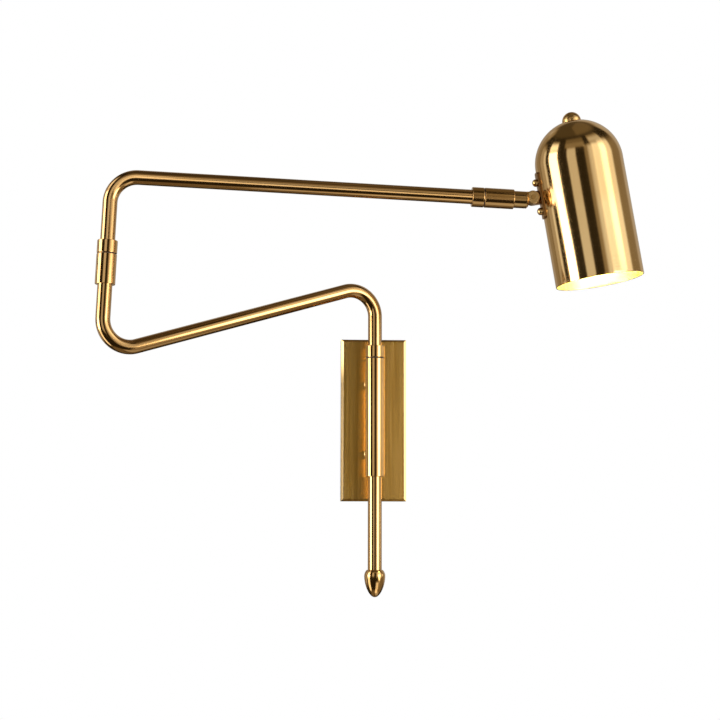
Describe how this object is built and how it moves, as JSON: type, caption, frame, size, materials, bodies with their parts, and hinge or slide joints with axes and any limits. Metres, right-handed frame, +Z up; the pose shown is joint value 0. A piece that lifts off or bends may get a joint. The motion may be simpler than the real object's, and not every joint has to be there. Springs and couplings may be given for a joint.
{
  "type": "adjustable wall lamp",
  "caption": "Brass swing-arm wall lamp: bevelled wall plate, pivot sleeve, bent lower arm, elbow, straight upper arm and a swivelling, tilting domed cylinder shade.",
  "frame": {"origin": "centre of the wall plate's back, on the wall", "axes": "+X to the right seen from the room, +Y into the wall, +Z up"},
  "size_m": [0.4756, 0.1512, 0.4279],
  "materials": {
    "brass_plate": "vertically brushed satin brass, lacquered",
    "brass_tube": "fine brushed brass, nearly polished",
    "brass_turned": "turned and polished brass",
    "brass_knuckle": "pale satin brass",
    "brass_shade": "spun brass, brushed along its height outside",
    "brass_screw": "plain brass",
    "zinc_steel": "zinc-plated steel",
    "nylon": "dark nylon",
    "terminal": "natural nylon",
    "holder": "white moulded holder",
    "bulb_metal": "rolled screw shell",
    "bulb_glass": "opal glass, lit"
  },
  "bodies": {
    "wall_base": {"wall_strap": "zinc_steel", "back_plate": "brass_plate", "plate_screws": "zinc_steel", "earth_screw": "brass_screw", "terminal_block": "terminal", "terminal_screws": "zinc_steel", "terminal_fixing": "zinc_steel", "upper_saddle": "brass_turned", "lower_saddle": "brass_turned", "saddle_screws": "zinc_steel", "saddle_washers": "zinc_steel", "pivot_sleeve": "brass_turned", "upper_bush": "nylon", "lower_bush": "nylon", "wall_thrust_washer": "nylon"},
    "lower_arm": {"lower_arm_tube": "brass_tube", "stop_collar": "brass_turned", "collar_set_screw": "zinc_steel", "bottom_finial": "brass_turned", "elbow_sleeve": "brass_turned", "elbow_thrust_washer": "nylon"},
    "upper_arm": {"elbow_collar": "brass_turned", "elbow_stem": "zinc_steel", "elbow_spring_washer": "zinc_steel", "elbow_nut": "zinc_steel", "upper_arm_tube": "brass_tube", "tip_collar": "brass_turned", "tip_stem": "zinc_steel", "tip_spring_washer": "zinc_steel", "tip_nut": "zinc_steel"},
    "swivel": {"tip_sleeve": "brass_turned", "tip_thrust_washer": "nylon", "knuckle_neck": "brass_knuckle", "tilt_screw": "brass_screw", "tilt_spring_washer": "zinc_steel", "tilt_friction_washer": "nylon"},
    "shade": {"shade_bracket": "brass_knuckle", "bracket_screws": "brass_screw", "bracket_nuts": "zinc_steel", "shade_shell": "brass_shade", "ball_finial": "brass_turned", "holder_nipple": "zinc_steel", "holder_lock_nut": "zinc_steel", "holder_cap": "holder", "holder_body": "holder", "bulb_cap": "bulb_metal", "bulb_glass": "bulb_glass"}
  },
  "joints": [
    {"name": "wall_swing", "type": "hinge", "parent": "wall_base", "child": "lower_arm", "pos_m": [0, -0.029, 0], "axis": [0, 0, 1], "range_deg": [-20, 158]},
    {"name": "elbow_swing", "type": "hinge", "parent": "lower_arm", "child": "upper_arm", "pos_m": [-0.23637, -0.11832, 0.13362], "axis": [0.0408, 0.0154, 0.999], "range_deg": [-145, 185]},
    {"name": "shade_swivel", "type": "hinge", "parent": "upper_arm", "child": "swivel", "pos_m": [0.08987, -0.11284, 0.18867], "axis": [0.9991, 0.0136, -0.041], "range_deg": [-160, 160]},
    {"name": "shade_tilt", "type": "hinge", "parent": "swivel", "child": "shade", "pos_m": [0.13242, -0.11223, 0.18903], "axis": [0.0143, -0.9998, 0.0148], "range_deg": [-34, 45]}
  ]
}
